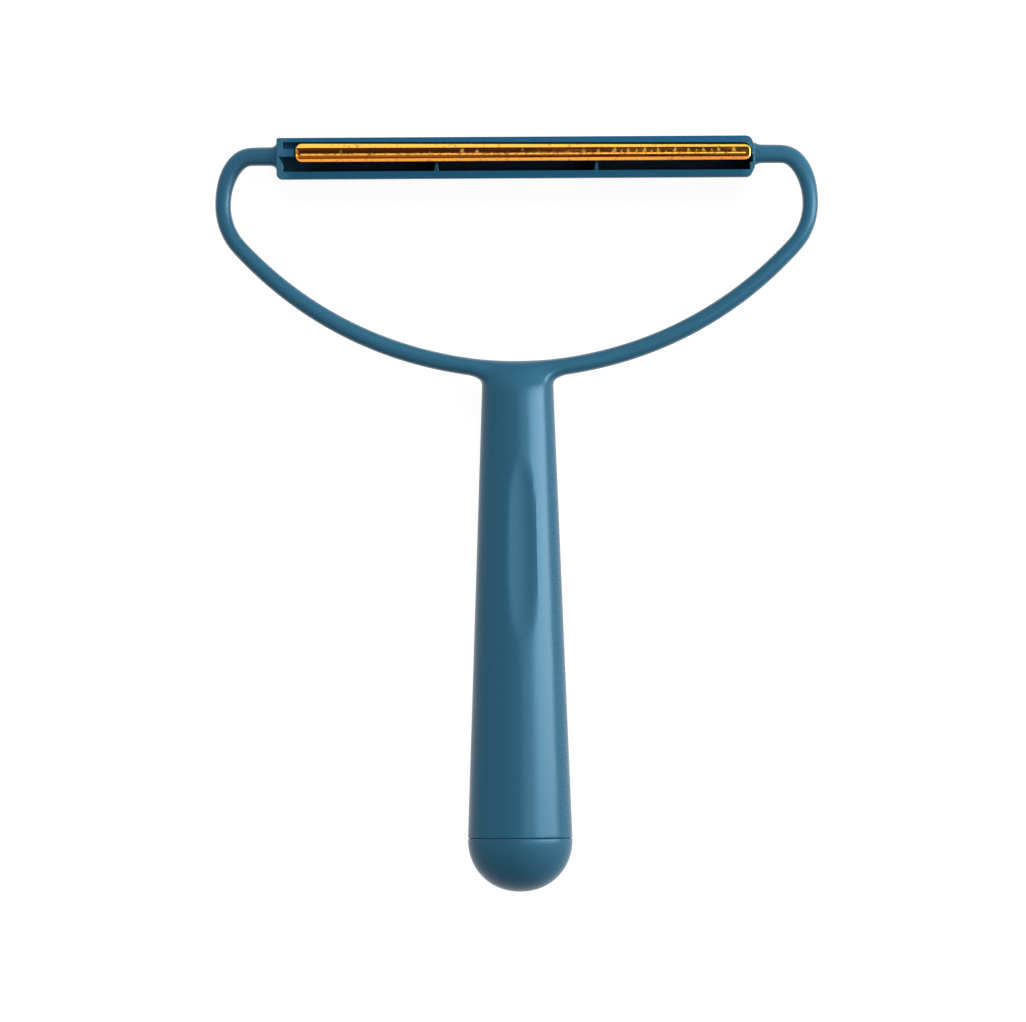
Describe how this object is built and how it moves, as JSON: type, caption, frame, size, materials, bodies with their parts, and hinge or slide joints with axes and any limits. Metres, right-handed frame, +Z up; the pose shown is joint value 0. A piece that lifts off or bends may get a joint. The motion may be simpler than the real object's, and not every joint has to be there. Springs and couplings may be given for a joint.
{
  "type": "manual lint brush",
  "caption": "Manual lint brush: tapered hollow handle with a plugged domed end cap, a curved bow, and a long head with copper scraping blades clipped in troughs on its front and back.",
  "frame": {"origin": "middle of the footprint, on the table that the brush lies on", "axes": "+X along the head, +Y up the handle towards the head, +Z up out of the table, which is the brush's front"},
  "size_m": [0.1392, 0.1748, 0.0242],
  "materials": {
    "body_plastic": "satin petrol-blue moulded plastic",
    "cap_plastic": "satin petrol-blue moulded plastic",
    "blade_copper": "bright drawn copper"
  },
  "bodies": {
    "brush": {"frame": "body_plastic", "front_blade": "blade_copper", "rear_blade": "blade_copper"},
    "cap": {"end_cap": "cap_plastic"}
  },
  "joints": [
    {"name": "cap_pull", "type": "slide", "parent": "brush", "child": "cap", "axis": [0, -0.9997, 0.025], "range_m": [0, 0.02]}
  ]
}
